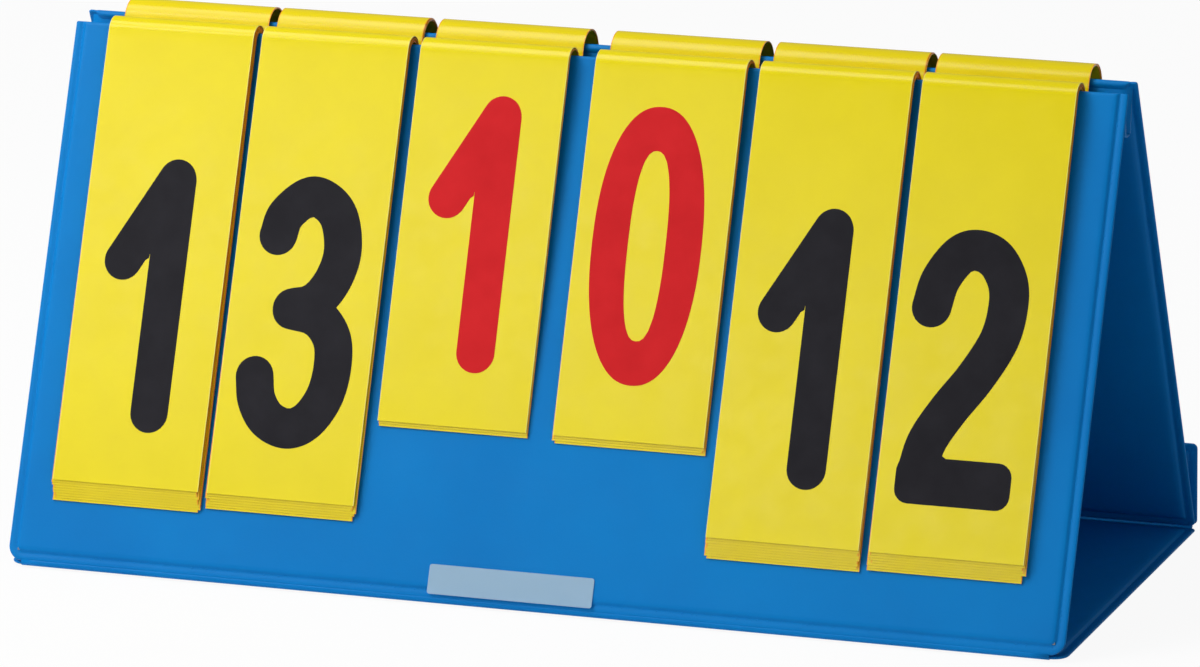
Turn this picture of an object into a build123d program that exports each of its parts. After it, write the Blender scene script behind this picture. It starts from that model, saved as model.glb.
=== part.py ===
from build123d import *
import math
import os

# Tabletop flip scoreboard: a folding case of three stiffened vinyl panels that stands as a tent, with six
# columns of number leaves that hang over its two top ridges. Millimetres. +Z is up and -Y is the front.
# The origin is under the middle of the base.

# ---- case ----
front_length = 217.6        # bottom edge to top ridge, up the slope of the front panel
front_lean = 23.09          # degrees from upright
base_depth = 185.3          # front edge to rear edge, on the table
flap_height = 36.0
skin_thickness = 0.6        # each vinyl skin
board_thickness = 1.6       # stiffener between the skins
edge_weld = 4.0             # width of the welded rim outside the stiffener
corner_radius = 2.0
fold_corner_radius = 6.0    # corners beside the fold between front and base
edge_rounding = 1.1
fold_reach = 3.0            # fold line to the middle of the panel edge beside it
fold_web_thickness = 1.1
foot_clearance = 0.3        # rear panel's foot over the base and in front of the flap
ridge_spacing = 13.1        # front ridge to rear ridge
ridge_rise = 1.7            # rear ridge above front ridge
valley_depth = 17.9         # rear ridge down to the bottom of the valley
gusset_thickness = 1.2
gusset_relief = 30.0        # stretch of panel below a ridge that its gusset is cut back from
contact_gap = 0.05          # between soft pieces that lie against each other

# ---- leaves ----
column_names = ("left_tens", "left_ones", "left_sets", "right_sets", "right_tens", "right_ones")
front_counts = (9, 7, 3, 4, 9, 8)
rear_counts = (2, 4, 2, 1, 2, 3)
score_clear = 36.0          # bottom edge of a score column's top leaf, up the front panel
set_clear = 70.0            # the same for the two shorter set columns
column_clears = (score_clear, score_clear, set_clear, set_clear, score_clear, score_clear)
leaf_width = 61.0
column_gaps = (3.5, 5.0, 11.0, 5.5, 4.0)    # between the leaves of neighbouring columns
left_margin = 16.5          # first column's leaves in from the end of the case
right_margin = 18.5
leaf_thickness = 0.25
leaf_gap = 0.05             # between leaves of one stack
turning_gap = 0.3           # between the leaf that turns next and the stacks beside it
stair_step = 0.96           # each deeper leaf hangs this much lower
leaf_rest_gap = 0.3         # deepest leaf off the panel at its bottom edge
ridge_gap = 0.25            # deepest leaf over the front ridge
rear_ridge_gap = 0.5
front_arch_lead = 0.6       # middle of the front arch, ahead of the front ridge and below it
front_arch_drop = 1.6
rear_arch_lead = 5.1        # middle of the rear arch, behind the rear ridge and below it
rear_arch_drop = 3.0
free_root = 10.8            # valley bottom up to where the leaves start to lean apart
root_shift = 0.55           # middle of the leaf roots, behind the middle of the ridges
root_lift = 0.8             # leaf roots above the valley bottom

# ---- small pieces ----
spine_thickness = 0.6
spine_lip = 5.8
spine_clearance = 0.3       # spine's rear edge short of the roots' rear, clear of the turning gusset
gusset_clearance = 0.25     # rear gusset behind the leaf roots
stitch_pitch = 6.0
stitch_length = 4.2
stitch_radius = 0.25
stitch_inset = 1.2          # stitches below the top of the spine's lip
window_width = 67.0
window_height = 11.5
window_centre = (-6.2, 11.0)   # across, and up the front panel
window_thickness = 0.3
window_corner = 1.0
closure_width = 60.0
closure_height = 15.0
closure_thickness = 1.0
closure_spread = 120.0      # middle of each closure strip from the middle of the case
closure_start = 10.0        # lower edge of the strips above the table

os.makedirs("parts", exist_ok=True)

panel_thickness = 2 * skin_thickness + board_thickness
half_panel = panel_thickness / 2
leaf_pitch = leaf_thickness + leaf_gap
first_pitch = leaf_thickness + turning_gap
depth_half = base_depth / 2
case_width = left_margin + len(column_names) * leaf_width + sum(column_gaps) + right_margin
column_centres = [
    left_margin + (k + 0.5) * leaf_width + sum(column_gaps[:k]) - case_width / 2
    for k in range(len(column_names))
]


def direction(lean):
    """Unit vector (y, z) that leans by an angle in degrees from upright, forwards where it is negative."""
    return Vector(math.sin(math.radians(lean)), math.cos(math.radians(lean)))


def across(vector):
    """The vector turned a quarter turn, from up towards the front."""
    return Vector(-vector.Y, vector.X)


# ---- where the panels stand, as (y, z) in the side view ----
front_up = direction(front_lean)
front_out = across(front_up)
front_foot = Vector(-depth_half, 0)
front_ridge = front_foot + front_up * (front_length - half_panel) - front_out * half_panel
rear_ridge = front_ridge + Vector(ridge_spacing, ridge_rise)
rear_foot = Vector(
    depth_half - panel_thickness - foot_clearance - half_panel,
    panel_thickness + foot_clearance + half_panel,
)
rear_up = (rear_ridge - rear_foot).normalized()
rear_out = across(rear_up) * -1
valley = Vector((front_ridge.X + rear_ridge.X) / 2, rear_ridge.Y - valley_depth)

# Fold lines run through the middle of the panels' thickness.
mid_front = front_foot - front_out * half_panel
front_fold = mid_front + front_up * ((half_panel - mid_front.Y) / front_up.Y)
flap_fold = Vector(depth_half - half_panel, half_panel)


def side_face(points):
    """A closed side-view outline. Each entry is (y, z), or a pair of them: an arc's middle and its end."""
    edges = []
    here = (0, points[0].X, points[0].Y)
    for step in points[1:]:
        if isinstance(step, tuple):
            middle, end = ((0, point.X, point.Y) for point in step)
            edges.append(ThreePointArc(here, middle, end))
        else:
            end = (0, step.X, step.Y)
            edges.append(Line(here, end))
        here = end
    return Face(Wire(edges))


def slab(face, width, centre=0.0):
    """A side-view face drawn out across the case, with its middle at centre."""
    return Pos(centre - width / 2, 0, 0) * extrude(face, amount=width, dir=(1, 0, 0))


def capsule(start, end, radius):
    """Outline of a sheet with round edges, from start to end."""
    along = (end - start).normalized()
    out = across(along) * radius
    return side_face([
        start + out,
        end + out,
        (end + along * radius, end - out),
        start - out,
        (start - along * radius, start + out),
    ])


def write(shape, name):
    export_step(shape, f"parts/{name}.step")


# ---- stiffened panels: outer skin, stiffener and inner skin ----
def panel(name, low, high, out, low_radius=corner_radius):
    """Panel from low to high, the middles of its two edges, with its outer skin on the side of out."""
    along = (high - low).normalized()
    length = (high - low).length + 2 * half_panel
    middle = (low + high) * 0.5
    across_case = Vector(0, along.X, along.Y).cross(Vector(0, out.X, out.Y))
    place = Plane(
        origin=(0, middle.X, middle.Y),
        x_dir=(across_case.X, 0, 0),
        z_dir=(0, out.X, out.Y),
    )
    outline = Rectangle(case_width, length)
    outline = fillet(outline.vertices().group_by(Axis.Y)[0], low_radius)
    outline = fillet(outline.vertices().group_by(Axis.Y)[-1], corner_radius)
    blank = extrude(outline, amount=half_panel, both=True)
    faces = blank.faces().sort_by(Axis.Z)
    blank = fillet(faces[0].edges() + faces[-1].edges(), edge_rounding)
    stiffener = Box(case_width - 2 * edge_weld, length - 2 * edge_weld, board_thickness)
    upper = Pos(0, 0, half_panel / 2) * Box(2 * case_width, 2 * length, half_panel)
    lower = Pos(0, 0, -half_panel / 2) * Box(2 * case_width, 2 * length, half_panel)
    write(place * (blank & upper - stiffener), f"{name}_outer_skin")
    write(place * (blank & lower - stiffener), f"{name}_inner_skin")
    write(place * stiffener, f"{name}_board")


panel("front", front_fold + front_up * fold_reach, front_ridge, front_out, fold_corner_radius)
panel("rear", rear_foot, rear_ridge, rear_out)
base_low = front_fold + Vector(fold_reach, 0)
panel("base", base_low, flap_fold - Vector(fold_reach, 0), Vector(0, -1), fold_corner_radius)
flap_top = Vector(flap_fold.X, flap_height - half_panel)
panel("flap", flap_fold + Vector(0, fold_reach), flap_top, Vector(1, 0))


# ---- soft folds where the two skins are welded to each other without a stiffener ----
def fold_web(name, fold, first, second, corner):
    """Soft strip round a fold line, reaching from it to the edges of the two panels beside it."""
    reach = fold_reach - half_panel - contact_gap
    web_round = fold_web_thickness / 2
    arms = [capsule(fold, fold + arm * (reach - web_round), web_round) for arm in (first, second)]
    write(slab(arms[0] + arms[1], case_width - 2 * corner), name)


fold_web("front_fold", front_fold, front_up, Vector(1, 0), fold_corner_radius)
fold_web("flap_fold", flap_fold, Vector(-1, 0), Vector(0, 1), corner_radius)

# ---- leaf roots and arches ----
front_depth = first_pitch + (max(front_counts) - 2) * leaf_pitch
rear_depth = first_pitch + (max(rear_counts) - 1) * leaf_pitch
bend = Vector(valley.X + root_shift, valley.Y + free_root)
root_floor = valley.Y + root_lift
front_arch = front_ridge + Vector(-front_arch_lead, -front_arch_drop)
rear_arch = rear_ridge + Vector(rear_arch_lead, -rear_arch_drop)
front_radius = (front_arch - front_ridge).length + half_panel + ridge_gap + front_depth + leaf_thickness / 2
rear_start = (rear_arch - rear_ridge).length + half_panel + rear_ridge_gap
rear_radius = rear_start + rear_depth + leaf_thickness / 2


class LeafPath:
    """The side view of a leaf that stands in the valley, arches over one ridge and hangs down that side.

    side is -1 in front and 1 behind. Everything is told for the leaf that turns next; a deeper leaf lies
    inside it by an inset, so its root, arch and hanging part are parallel to it."""

    def __init__(self, side, arch, radius, foot, up, out, clear, stack):
        self.side, self.arch, self.radius = side, arch, radius
        reach = arch - bend
        lean = math.atan2(side * reach.X, reach.Y) - math.asin(radius / reach.length)
        self.strip_lean = math.degrees(lean)
        self.strip_up = direction(side * self.strip_lean)
        low = foot + up * clear + out * stack
        rise = arch - low
        hang = math.atan2(-side * rise.X, rise.Y) - math.asin(radius / rise.length)
        self.hang_lean = math.degrees(hang)
        self.hang_up = direction(-side * self.hang_lean)
        self.hang_out = across(self.hang_up) * -side
        self.low = low

    def root(self, inset):
        """Where the leaf stands on the valley floor."""
        return Vector(bend.X + self.side * inset, root_floor)

    def corner(self, inset):
        """Where the leaf leaves the upright."""
        shift = inset * math.tan(math.radians(self.strip_lean) / 2)
        return Vector(bend.X + self.side * inset, bend.Y - shift)

    def on_arch(self, share, inset):
        """A point on the arch, from 0 at its root side to 1 at its hanging side."""
        start = math.radians(self.strip_lean)
        end = math.pi - math.radians(self.hang_lean)
        angle = start + (end - start) * share
        radius = self.radius - inset
        return self.arch + Vector(-self.side * math.cos(angle), math.sin(angle)) * radius

    def end(self, inset, stair):
        """The leaf's free bottom edge."""
        return self.low - self.hang_out * inset - self.hang_up * stair

    def sheet(self, inset, stair, start, stop):
        """Outline between two of root, bend, hang and end."""
        faces = []
        edge = leaf_thickness / 2
        names = ("root", "bend", "hang", "end")
        first, last = names.index(start), names.index(stop)
        runs = []
        for offset in (inset - edge, inset + edge):
            run = []
            if first == 0:
                run.append(self.root(offset))
            if first <= 1 and last >= 1:
                run.append(self.corner(offset))
            if last >= 2 and first <= 1:
                run.append(self.on_arch(0, offset))
                run.append((self.on_arch(0.5, offset), self.on_arch(1, offset)))
            if first == 2:
                run.append(self.on_arch(1, offset))
            if last == 3:
                run.append(self.end(offset, stair))
            runs.append(run)
        outer, inner = runs
        return side_face(outer + reversed_run(inner) + [outer[0]])


def reversed_run(run):
    """The same run the other way round, with each arc kept."""
    points = []
    for step in run:
        points.append(step[1] if isinstance(step, tuple) else step)
    back = [points[-1]]
    for index in range(len(run) - 1, 0, -1):
        if isinstance(run[index], tuple):
            back.append((run[index][0], points[index - 1]))
        else:
            back.append(points[index - 1])
    return back


def under_leaf(path, depth, centre):
    """The leaf that lies depth places under the one that turns next."""
    inset = first_pitch + (depth - 1) * leaf_pitch
    return slab(path.sheet(inset, depth * stair_step, "root", "end"), leaf_width, centre)


turning_roots = []
for name, centre, fronts, rears, clear in zip(
    column_names, column_centres, front_counts, rear_counts, column_clears
):
    front_stack = leaf_rest_gap + leaf_thickness / 2 + first_pitch + (fronts - 2) * leaf_pitch
    rear_stack = leaf_rest_gap + leaf_thickness / 2 + first_pitch + (rears - 1) * leaf_pitch
    front = LeafPath(-1, front_arch, front_radius, front_foot, front_up, front_out, clear, front_stack)
    rear_base = rear_foot - rear_up * half_panel + rear_out * half_panel
    rear = LeafPath(1, rear_arch, rear_radius, rear_base, rear_up, rear_out, clear, rear_stack)

    waiting = [under_leaf(front, depth, centre) for depth in range(1, fronts)]
    write(Compound(children=waiting), f"{name}_front_leaves")
    turned = [under_leaf(rear, depth, centre) for depth in range(1, rears + 1)]
    write(Compound(children=turned), f"{name}_rear_leaves")

    write(slab(front.sheet(0, 0, "bend", "hang"), leaf_width, centre), f"{name}_top_arch")
    write(slab(front.sheet(0, 0, "hang", "end"), leaf_width, centre), f"{name}_top_leaf")
    turning_roots.append(slab(front.sheet(0, 0, "root", "bend"), leaf_width, centre))
write(Compound(children=turning_roots), "top_leaf_roots")

# ---- valley between the ridges: two gusset walls, and the spine that the leaf roots are held in ----
spine_front = bend.X - front_depth - leaf_thickness / 2 - contact_gap
spine_rear = bend.X + rear_depth + leaf_thickness / 2 + contact_gap
gusset_half = gusset_thickness / 2
hinge_line = Vector(spine_rear + gusset_clearance + gusset_half, valley.Y)
front_gusset_low = Vector(spine_front - spine_thickness - contact_gap - gusset_half, valley.Y)
gusset_width = case_width - 2 * corner_radius


def gusset(name, low, ridge, ridge_foot):
    """Vinyl wall from a ridge down to the spine, cut back to clear the panel's edge."""
    wall = capsule(low, ridge, gusset_half)
    edge = capsule(ridge_foot, ridge, half_panel + contact_gap)
    write(slab(wall - edge, gusset_width), name)


gusset("front_gusset", front_gusset_low, front_ridge, front_ridge - front_up * gusset_relief)
gusset("rear_gusset", hinge_line, rear_ridge, rear_ridge - rear_up * gusset_relief)

spine_bottom = valley.Y - spine_thickness
spine_section = side_face([
    Vector(spine_front - spine_thickness, spine_bottom),
    Vector(spine_rear - spine_clearance, spine_bottom),
    Vector(spine_rear - spine_clearance, valley.Y),
    Vector(spine_front, valley.Y),
    Vector(spine_front, valley.Y + spine_lip),
    Vector(spine_front - spine_thickness, valley.Y + spine_lip),
    Vector(spine_front - spine_thickness, spine_bottom),
])
write(slab(spine_section, gusset_width), "spine_tape")

# ---- stitches that close the spine, lying on its front lip above the gusset's weld ----
stitch_count = int(gusset_width // stitch_pitch) - 1
stitch_place = Vector(spine_front - spine_thickness - stitch_radius, valley.Y + spine_lip - stitch_inset)
stitches = [
    Pos((k - (stitch_count - 1) / 2) * stitch_pitch, stitch_place.X, stitch_place.Y)
    * Rot(0, 90, 0)
    * Cylinder(stitch_radius, stitch_length)
    for k in range(stitch_count)
]
write(Compound(children=stitches), "spine_stitches")

# ---- bare window near the foot of the front panel ----
window_plane = Plane(
    origin=(0, front_foot.X, front_foot.Y), x_dir=(1, 0, 0), z_dir=(0, front_out.X, front_out.Y)
)
window = extrude(RectangleRounded(window_width, window_height, window_corner), amount=window_thickness)
write(window_plane * Pos(*window_centre, 0) * window, "name_window")

# ---- hook and loop strips that hold the flap to the foot of the rear panel ----
rear_base_line = rear_foot + rear_out * half_panel
loop_low = rear_base_line + rear_up * ((closure_start - rear_base_line.Y) / rear_up.Y)
loop_section = side_face([
    loop_low,
    loop_low + rear_up * closure_height,
    loop_low + rear_up * closure_height + rear_out * closure_thickness,
    loop_low + rear_out * closure_thickness,
    loop_low,
])
hook_low = Vector(depth_half - panel_thickness, closure_start)
hook_section = side_face([
    hook_low,
    hook_low + Vector(0, closure_height),
    hook_low + Vector(-closure_thickness, closure_height),
    hook_low + Vector(-closure_thickness, 0),
    hook_low,
])
for section, name in ((loop_section, "loop_strips"), (hook_section, "hook_strips")):
    strips = [slab(section, closure_width, place) for place in (-closure_spread, closure_spread)]
    write(Compound(children=strips), name)
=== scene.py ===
import math
import bmesh
import bpy
import numpy as np
from mathutils import Matrix, Vector


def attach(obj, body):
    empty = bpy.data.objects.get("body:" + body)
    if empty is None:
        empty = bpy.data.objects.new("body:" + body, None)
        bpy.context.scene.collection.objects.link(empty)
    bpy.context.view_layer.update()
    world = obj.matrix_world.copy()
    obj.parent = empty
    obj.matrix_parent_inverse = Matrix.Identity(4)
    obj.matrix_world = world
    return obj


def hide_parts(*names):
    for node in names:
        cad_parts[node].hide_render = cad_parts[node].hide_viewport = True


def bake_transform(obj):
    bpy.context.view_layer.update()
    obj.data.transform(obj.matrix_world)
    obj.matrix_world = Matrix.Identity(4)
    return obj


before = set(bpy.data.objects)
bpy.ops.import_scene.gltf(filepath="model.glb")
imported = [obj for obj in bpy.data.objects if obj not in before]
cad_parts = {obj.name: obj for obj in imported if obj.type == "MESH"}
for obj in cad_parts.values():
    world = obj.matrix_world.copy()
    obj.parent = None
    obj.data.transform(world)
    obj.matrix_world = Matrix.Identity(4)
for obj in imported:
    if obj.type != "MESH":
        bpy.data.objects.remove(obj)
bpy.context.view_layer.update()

# ---- the view ----
# The scoreboard is seen from its front right and a little above, from some three metres away, so its edges
# stay nearly parallel.
distance = 3.3473
focal_pixels, photo_width = 8605.8, 1200
aimed_at = Vector((-0.0004, 0, 0.0876))
yaw, pitch, roll = (math.radians(angle) for angle in (19.93, 15.24, -0.81))
ahead = Vector((-math.sin(yaw) * math.cos(pitch), math.cos(yaw) * math.cos(pitch), -math.sin(pitch)))
level = Vector((math.cos(yaw), math.sin(yaw), 0))
upright = level.cross(ahead)
rightward = level * math.cos(roll) + upright * math.sin(roll)
topward = upright * math.cos(roll) - level * math.sin(roll)
camera = bpy.data.objects.new("camera", bpy.data.cameras.new("camera"))
bpy.context.collection.objects.link(camera)
turn = Matrix((rightward, topward, -ahead)).transposed().to_4x4()
camera.matrix_world = Matrix.Translation(aimed_at - ahead * distance) @ turn
camera.data.sensor_width = 36
camera.data.lens = focal_pixels / photo_width * camera.data.sensor_width
bpy.context.scene.camera = camera

# ---- studio ----
# A plain white table and surround. The table still takes the soft shadow of the case. The key softbox stands
# high at the left, one hangs over the case, a long strip glances off the leaves, and a weak one fills in.
def shader(name):
    """A new node material and its empty tree."""
    material = bpy.data.materials.new(name)
    material.use_nodes = True
    material.node_tree.nodes.clear()
    return material, material.node_tree


def add_node(tree, kind, inputs=None, **settings):
    """Adds a node to a tree. Each input takes a socket to link to, or a plain value."""
    made = tree.nodes.new(kind)
    for setting, value in settings.items():
        setattr(made, setting, value)
    for place, value in (inputs or {}).items():
        if isinstance(value, bpy.types.NodeSocket):
            tree.links.new(value, made.inputs[place])
        else:
            made.inputs[place].default_value = value
    return made


def operate(tree, operation, first, second=None, kind="ShaderNodeMath"):
    """The result of a maths node."""
    inputs = {0: first}
    if second is not None:
        inputs["Scale" if operation == "SCALE" else 1] = second
    return add_node(tree, kind, inputs, operation=operation).outputs[0]


def mixed(tree, factor, first, second, output):
    """Ends a tree in a mix of two shaders."""
    inputs = {0: factor, 1: first.outputs[0], 2: second.outputs[0]}
    mix = add_node(tree, "ShaderNodeMixShader", inputs)
    add_node(tree, output, {"Surface": mix.outputs[0]})


# The camera, a reflection or clear film that looks straight at the table sees nearly plain white.
table_white, tree = shader("table_white")
path = tree.nodes.new("ShaderNodeLightPath")
straight = path.outputs["Is Camera Ray"]
for ray in ("Is Glossy Ray", "Is Transmission Ray"):
    straight = operate(tree, "MAXIMUM", straight, path.outputs[ray])
matt = add_node(tree, "ShaderNodeBsdfDiffuse", {"Color": (0.86, 0.86, 0.86, 1)})
glow = add_node(tree, "ShaderNodeEmission", {"Strength": 1.0})
mixed(tree, operate(tree, "MULTIPLY", straight, 0.93), matt, glow, "ShaderNodeOutputMaterial")
mesh = bpy.data.meshes.new("table")
mesh.from_pydata([(-6, -6, 0), (6, -6, 0), (6, 6, 0), (-6, 6, 0)], [], [(0, 1, 2, 3)])
mesh.materials.append(table_white)
table = bpy.data.objects.new("table", mesh)
bpy.context.collection.objects.link(table)

bpy.context.scene.view_settings.view_transform = "Standard"
world = bpy.data.worlds.new("surround")
world.use_nodes = True
tree = world.node_tree
tree.nodes.clear()
soft = add_node(tree, "ShaderNodeBackground", {"Color": (0.93, 0.96, 1.0, 1), "Strength": 0.24})
plain = add_node(tree, "ShaderNodeBackground", {"Color": (1, 1, 1, 1)})
path = tree.nodes.new("ShaderNodeLightPath")
mixed(tree, path.outputs["Is Camera Ray"], soft, plain, "ShaderNodeOutputWorld")
bpy.context.scene.world = world

softboxes = (
    # name, place, aimed at, width, height, watts
    ("key_softbox", (-1.26, -0.80, 1.42), (0, -0.03, 0.12), 0.8, 0.8, 20),
    ("overhead_softbox", (-0.50, -0.25, 1.55), (0, 0, 0.15), 0.9, 0.5, 7),
    ("strip_softbox", (-0.72, -1.52, 0.93), (0, -0.05, 0.12), 1.1, 0.16, 3.2),
    ("right_softbox", (1.8, -1.2, 0.7), (0, 0, 0.1), 0.8, 1.1, 1.0),
)
for name, place, aim, width, height, watts in softboxes:
    lamp = bpy.data.lights.new(name, "AREA")
    lamp.shape = "RECTANGLE"
    lamp.size, lamp.size_y, lamp.energy = width, height, watts
    box = bpy.data.objects.new(name, lamp)
    bpy.context.collection.objects.link(box)
    box.location = place
    box.rotation_euler = (Vector(aim) - Vector(place)).to_track_quat("-Z", "Y").to_euler()

# ---- front panel ----
# Two blue vinyl skins, welded to each other round a stiff board. The weld presses the rim thin and leaves a
# ribbed line just outside the board. The top edge has no weld: there the vinyl is folded over into the valley.
MM = 0.001
case_width = 430.0
foot_reach = 92.65          # from the middle of the case to its front edge, and to the outside of the flap
front_length = 217.6
front_lean = math.radians(23.09)
half_panel = 1.4
panel_thickness = 2 * half_panel
fold_reach = 3.0            # bare vinyl between the bend and the board
fold_corner, free_corner, ridge_corner = 6.0, 2.0, 0.7
edge_steps = (0, 0.12, 0.35, 0.7, 1.3, 2.0, 2.6, 3.2, 3.5, 3.9, 4.6, 6.0, 8.0, 12.0)
rim_half = (0, 0.3, 0.48, 0.57, 0.6, 0.6, 0.46, 0.42, 0.52, 0.95, 1.22, 1.36, 1.4, 1.4)


def yz(y, z):
    return np.array((y, z), float)


front_up = yz(math.sin(front_lean), math.cos(front_lean))
front_out = yz(-front_up[1], front_up[0])
front_foot = yz(-foot_reach, 0)
front_ridge = front_foot + front_up * (front_length - half_panel) - front_out * half_panel
middle = front_foot - front_out * half_panel
front_fold = middle + front_up * ((half_panel - middle[1]) / front_up[1])


def mix_in(tree, factor, low, high):
    """A colour that goes from low to high as factor goes from 0 to 1."""
    low, high = ((*value, 1) if isinstance(value, tuple) else value for value in (low, high))
    inputs = {"Factor": factor, 6: low, 7: high}
    return add_node(tree, "ShaderNodeMix", inputs, data_type="RGBA").outputs[2]


def noise(tree, scale, detail=2.0, where=None):
    """Noise in object space, or in the space of the where socket."""
    if where is None:
        where = tree.nodes.new("ShaderNodeTexCoord").outputs["Object"]
    inputs = {"Scale": scale, "Detail": detail, "Vector": where}
    return add_node(tree, "ShaderNodeTexNoise", inputs).outputs["Fac"]


def span(tree, value, to_low, to_high, from_low=0.3, from_high=0.7):
    """value stretched from one range to another, and held inside it."""
    inputs = {"Value": value, "From Min": from_low, "From Max": from_high, "To Min": to_low, "To Max": to_high}
    return add_node(tree, "ShaderNodeMapRange", inputs).outputs["Result"]


def bump(tree, height, strength, depth, below=None):
    """A bump of that depth in metres, laid over the one below it."""
    inputs = {"Strength": strength, "Distance": depth, "Height": height}
    if below is not None:
        inputs["Normal"] = below
    return add_node(tree, "ShaderNodeBump", inputs).outputs["Normal"]


def principled(tree, colour, roughness, normal, **others):
    """Ends a material in one Principled shader. others are its further sockets, with _ for a space."""
    inputs = {"Base Color": colour, "Roughness": roughness, "Normal": normal}
    inputs.update({label.replace("_", " "): value for label, value in others.items()})
    skin = add_node(tree, "ShaderNodeBsdfPrincipled", inputs)
    add_node(tree, "ShaderNodeOutputMaterial", {"Surface": skin.outputs[0]})


def vinyl(name, shade, light):
    """Calendered vinyl: a fine grain, faint clouding and a satin gloss that wears duller in patches."""
    material, tree = shader(name)
    cloud = span(tree, noise(tree, 14, 3), 0, 1)
    rub = span(tree, noise(tree, 60, 4), 0.40, 0.52)
    waves = bump(tree, noise(tree, 22, 1), 0.5, 0.0006)
    grain = bump(tree, noise(tree, 1500, 2), 0.22, 0.00012, waves)
    principled(tree, mix_in(tree, cloud, shade, light), rub, grain, Specular_IOR_Level=0.12)
    return material


blue_vinyl = vinyl("blue_vinyl", (0.0, 0.190, 0.560), (0.0, 0.225, 0.625))


def add_piece(name, mesh, material, body, slot, *nodes):
    """Links a finished mesh, gives it its finish, and hangs it on its body in place of CAD nodes."""
    mesh.materials.clear()
    mesh.materials.append(material)
    piece = bpy.data.objects.new(name, mesh)
    bpy.context.collection.objects.link(piece)
    if body:
        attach(piece, body)
    if nodes:
        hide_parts(*nodes)
    return piece


def solid_sheet(name, middle, half, uv=None, crisp=False):
    """Closed mesh of a sheet in millimetres: middle is its grid of points, half its half thickness."""
    middle = np.asarray(middle, float)
    rows, columns = middle.shape[:2]
    normal = np.cross(np.gradient(middle, axis=0), np.gradient(middle, axis=1))
    normal /= np.linalg.norm(normal, axis=2, keepdims=True)
    half = np.broadcast_to(np.asarray(half, float), (rows, columns))[..., None]
    points = np.concatenate([(middle + normal * half), (middle - normal * half)]).reshape(-1, 3) * MM
    index = np.arange(rows * columns).reshape(rows, columns)
    faces = []
    below = rows * columns
    for i in range(rows - 1):
        for j in range(columns - 1):
            a, b, c, d = index[i, j], index[i + 1, j], index[i + 1, j + 1], index[i, j + 1]
            faces.append((a, b, c, d))
            faces.append(tuple(k + below for k in (d, c, b, a)))
    ring = [index[i, 0] for i in range(rows)] + [index[-1, j] for j in range(1, columns)]
    ring += [index[i, -1] for i in range(rows - 2, -1, -1)] + [index[0, j] for j in range(columns - 2, 0, -1)]
    for a, b in zip(ring, ring[1:] + ring[:1]):
        faces.append((b, a, a + below, b + below))
    mesh = bpy.data.meshes.new(name)
    mesh.from_pydata(points.tolist(), [], [tuple(int(k) for k in face) for face in faces])
    if uv is not None:
        layer = mesh.uv_layers.new(name="sheet")
        both = np.concatenate([uv, uv]).reshape(-1, 2) * MM
        corners = np.array([loop.vertex_index for loop in mesh.loops])
        layer.data.foreach_set("uv", both[corners].astype(np.float32).ravel())
    shape = bmesh.new()
    shape.from_mesh(mesh)
    bmesh.ops.remove_doubles(shape, verts=shape.verts, dist=1e-7)
    bmesh.ops.recalc_face_normals(shape, faces=shape.faces)
    for face in shape.faces:
        face.smooth = True
    shape.to_mesh(mesh)
    shape.free()
    if crisp:
        mesh.set_sharp_from_angle(angle=math.radians(40))
    return mesh


def spread(length, step=9.0):
    """Grid lines from 0 to length: close together near both edges, and about step apart between."""
    near = np.array(edge_steps)
    between = np.linspace(near[-1], length - near[-1], max(3, int((length - 2 * near[-1]) / step)))
    return np.concatenate([near[:-1], between, (length - near)[::-1][1:]])


def panel_grid(length, low_corner, high_corner, folded_top):
    """Grid of a panel in its own plane, with round corners, and its half thickness."""
    across, along = spread(case_width), spread(length)
    u, v = np.meshgrid(across, along, indexing="ij")
    inset_u = np.minimum(u, case_width - u)
    inset_low, inset_high = v.copy(), length - v
    for corner, at_top in ((low_corner, False), (high_corner, True)):
        count = edge_steps.index(corner)
        for i in range(count):
            for j in range(count):
                k = min(i, j)
                turned = (count - j if i <= j else count - 2 * k + i) / (2 * (count - k))
                angle = turned * math.pi / 2
                radius = corner - edge_steps[k]
                x = corner - radius * math.cos(angle)
                y = corner - radius * math.sin(angle)
                row = -1 - j if at_top else j
                for column, place in ((i, x), (-1 - i, case_width - x)):
                    u[column, row] = place
                    v[column, row] = length - y if at_top else y
                    inset_u[column, row] = edge_steps[k]
                    (inset_high if at_top else inset_low)[column, row] = edge_steps[k]

    def weld(inset):
        return np.interp(inset, edge_steps, rim_half)

    fold = np.sqrt(np.clip(half_panel**2 - np.clip(half_panel - inset_high, 0, None) ** 2, 0, None))
    half = np.minimum(weld(inset_u), weld(inset_low))
    half = np.minimum(half, fold if folded_top else weld(inset_high))
    return u - case_width / 2, v, half


def panel(name, body, low, high, out, low_corner, *nodes, folded_top=False):
    """A stiffened vinyl panel from low to high, the middles of its two edges."""
    along = (high - low) / np.linalg.norm(high - low)
    length = np.linalg.norm(high - low) + 2 * half_panel
    u, v, half = panel_grid(length, low_corner, ridge_corner if folded_top else free_corner, folded_top)
    start = low - along * half_panel
    over_board = half > half_panel - 0.1
    slack = 0.12 * (np.sin(u / 41 + 1.3) * np.sin(v / 37) - 1) * over_board
    y = start[0] + along[0] * v + out[0] * slack
    z = start[1] + along[1] * v + out[1] * slack
    mesh = solid_sheet(name, np.stack([u, y, z], axis=2), half)
    return add_piece(name, mesh, blue_vinyl, body, "blue_vinyl", *nodes)


panel(
    "front_panel_vinyl", "case", front_fold + front_up * fold_reach, front_ridge, front_out, fold_corner,
    "front_outer_skin", "front_inner_skin", folded_top=True,
)

# ---- base panel ----
# The same two skins and board, lying on the table under the tent. Its front corners are rounded where the
# vinyl folds up into the front panel.
flap_fold = yz(foot_reach - half_panel, half_panel)
base_front, base_rear = front_fold + yz(fold_reach, 0), flap_fold - yz(fold_reach, 0)
panel(
    "base_panel_vinyl", "base_panel", base_front, base_rear, yz(0, -1), fold_corner,
    "base_outer_skin", "base_inner_skin",
)

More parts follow.
